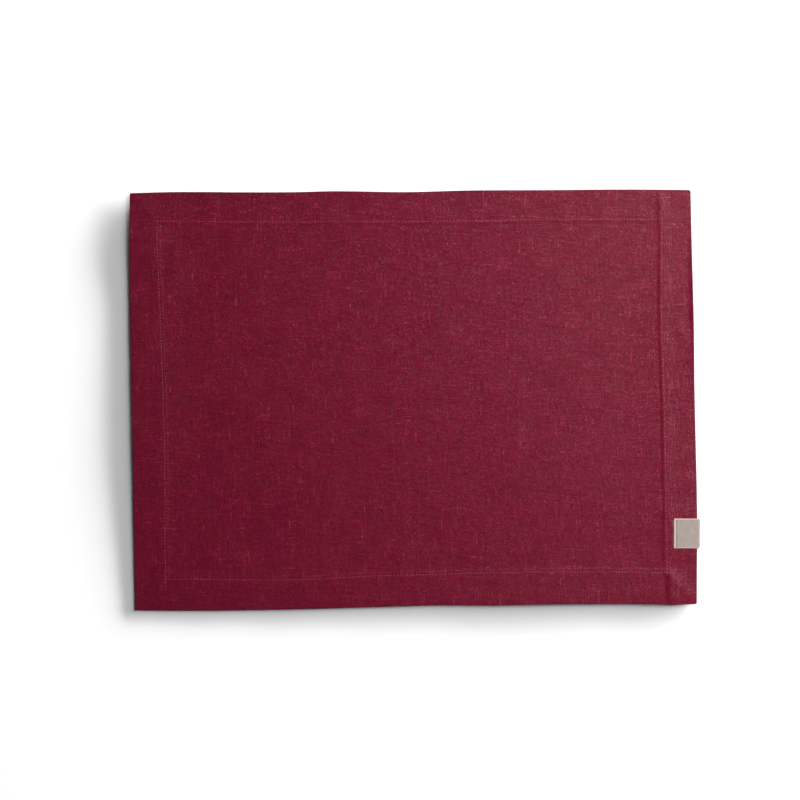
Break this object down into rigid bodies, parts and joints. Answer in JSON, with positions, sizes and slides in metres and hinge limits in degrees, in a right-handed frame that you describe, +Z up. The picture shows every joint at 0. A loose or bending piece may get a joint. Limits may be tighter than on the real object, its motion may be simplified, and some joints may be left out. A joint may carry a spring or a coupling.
{
  "type": "fabric placemat",
  "caption": "Rectangular linen placemat with a wide mitred hem turned to the underside and a small folded tape label at its right edge; lies flat under a plate.",
  "frame": {"origin": "on the surface the mat lies on, under the middle of the cloth and its label together", "axes": "+X along the long sides towards the labelled edge, +Y across the mat towards the far edge, +Z up from the surface"},
  "size_m": [0.5052, 0.3731, 0.004],
  "materials": {
    "linen": "matt plain-woven wine red linen with uneven yarns and slubs",
    "label_tape": "matt greige woven tape"
  },
  "bodies": {
    "root": {"cloth": "linen", "label": "label_tape"}
  },
  "joints": []
}
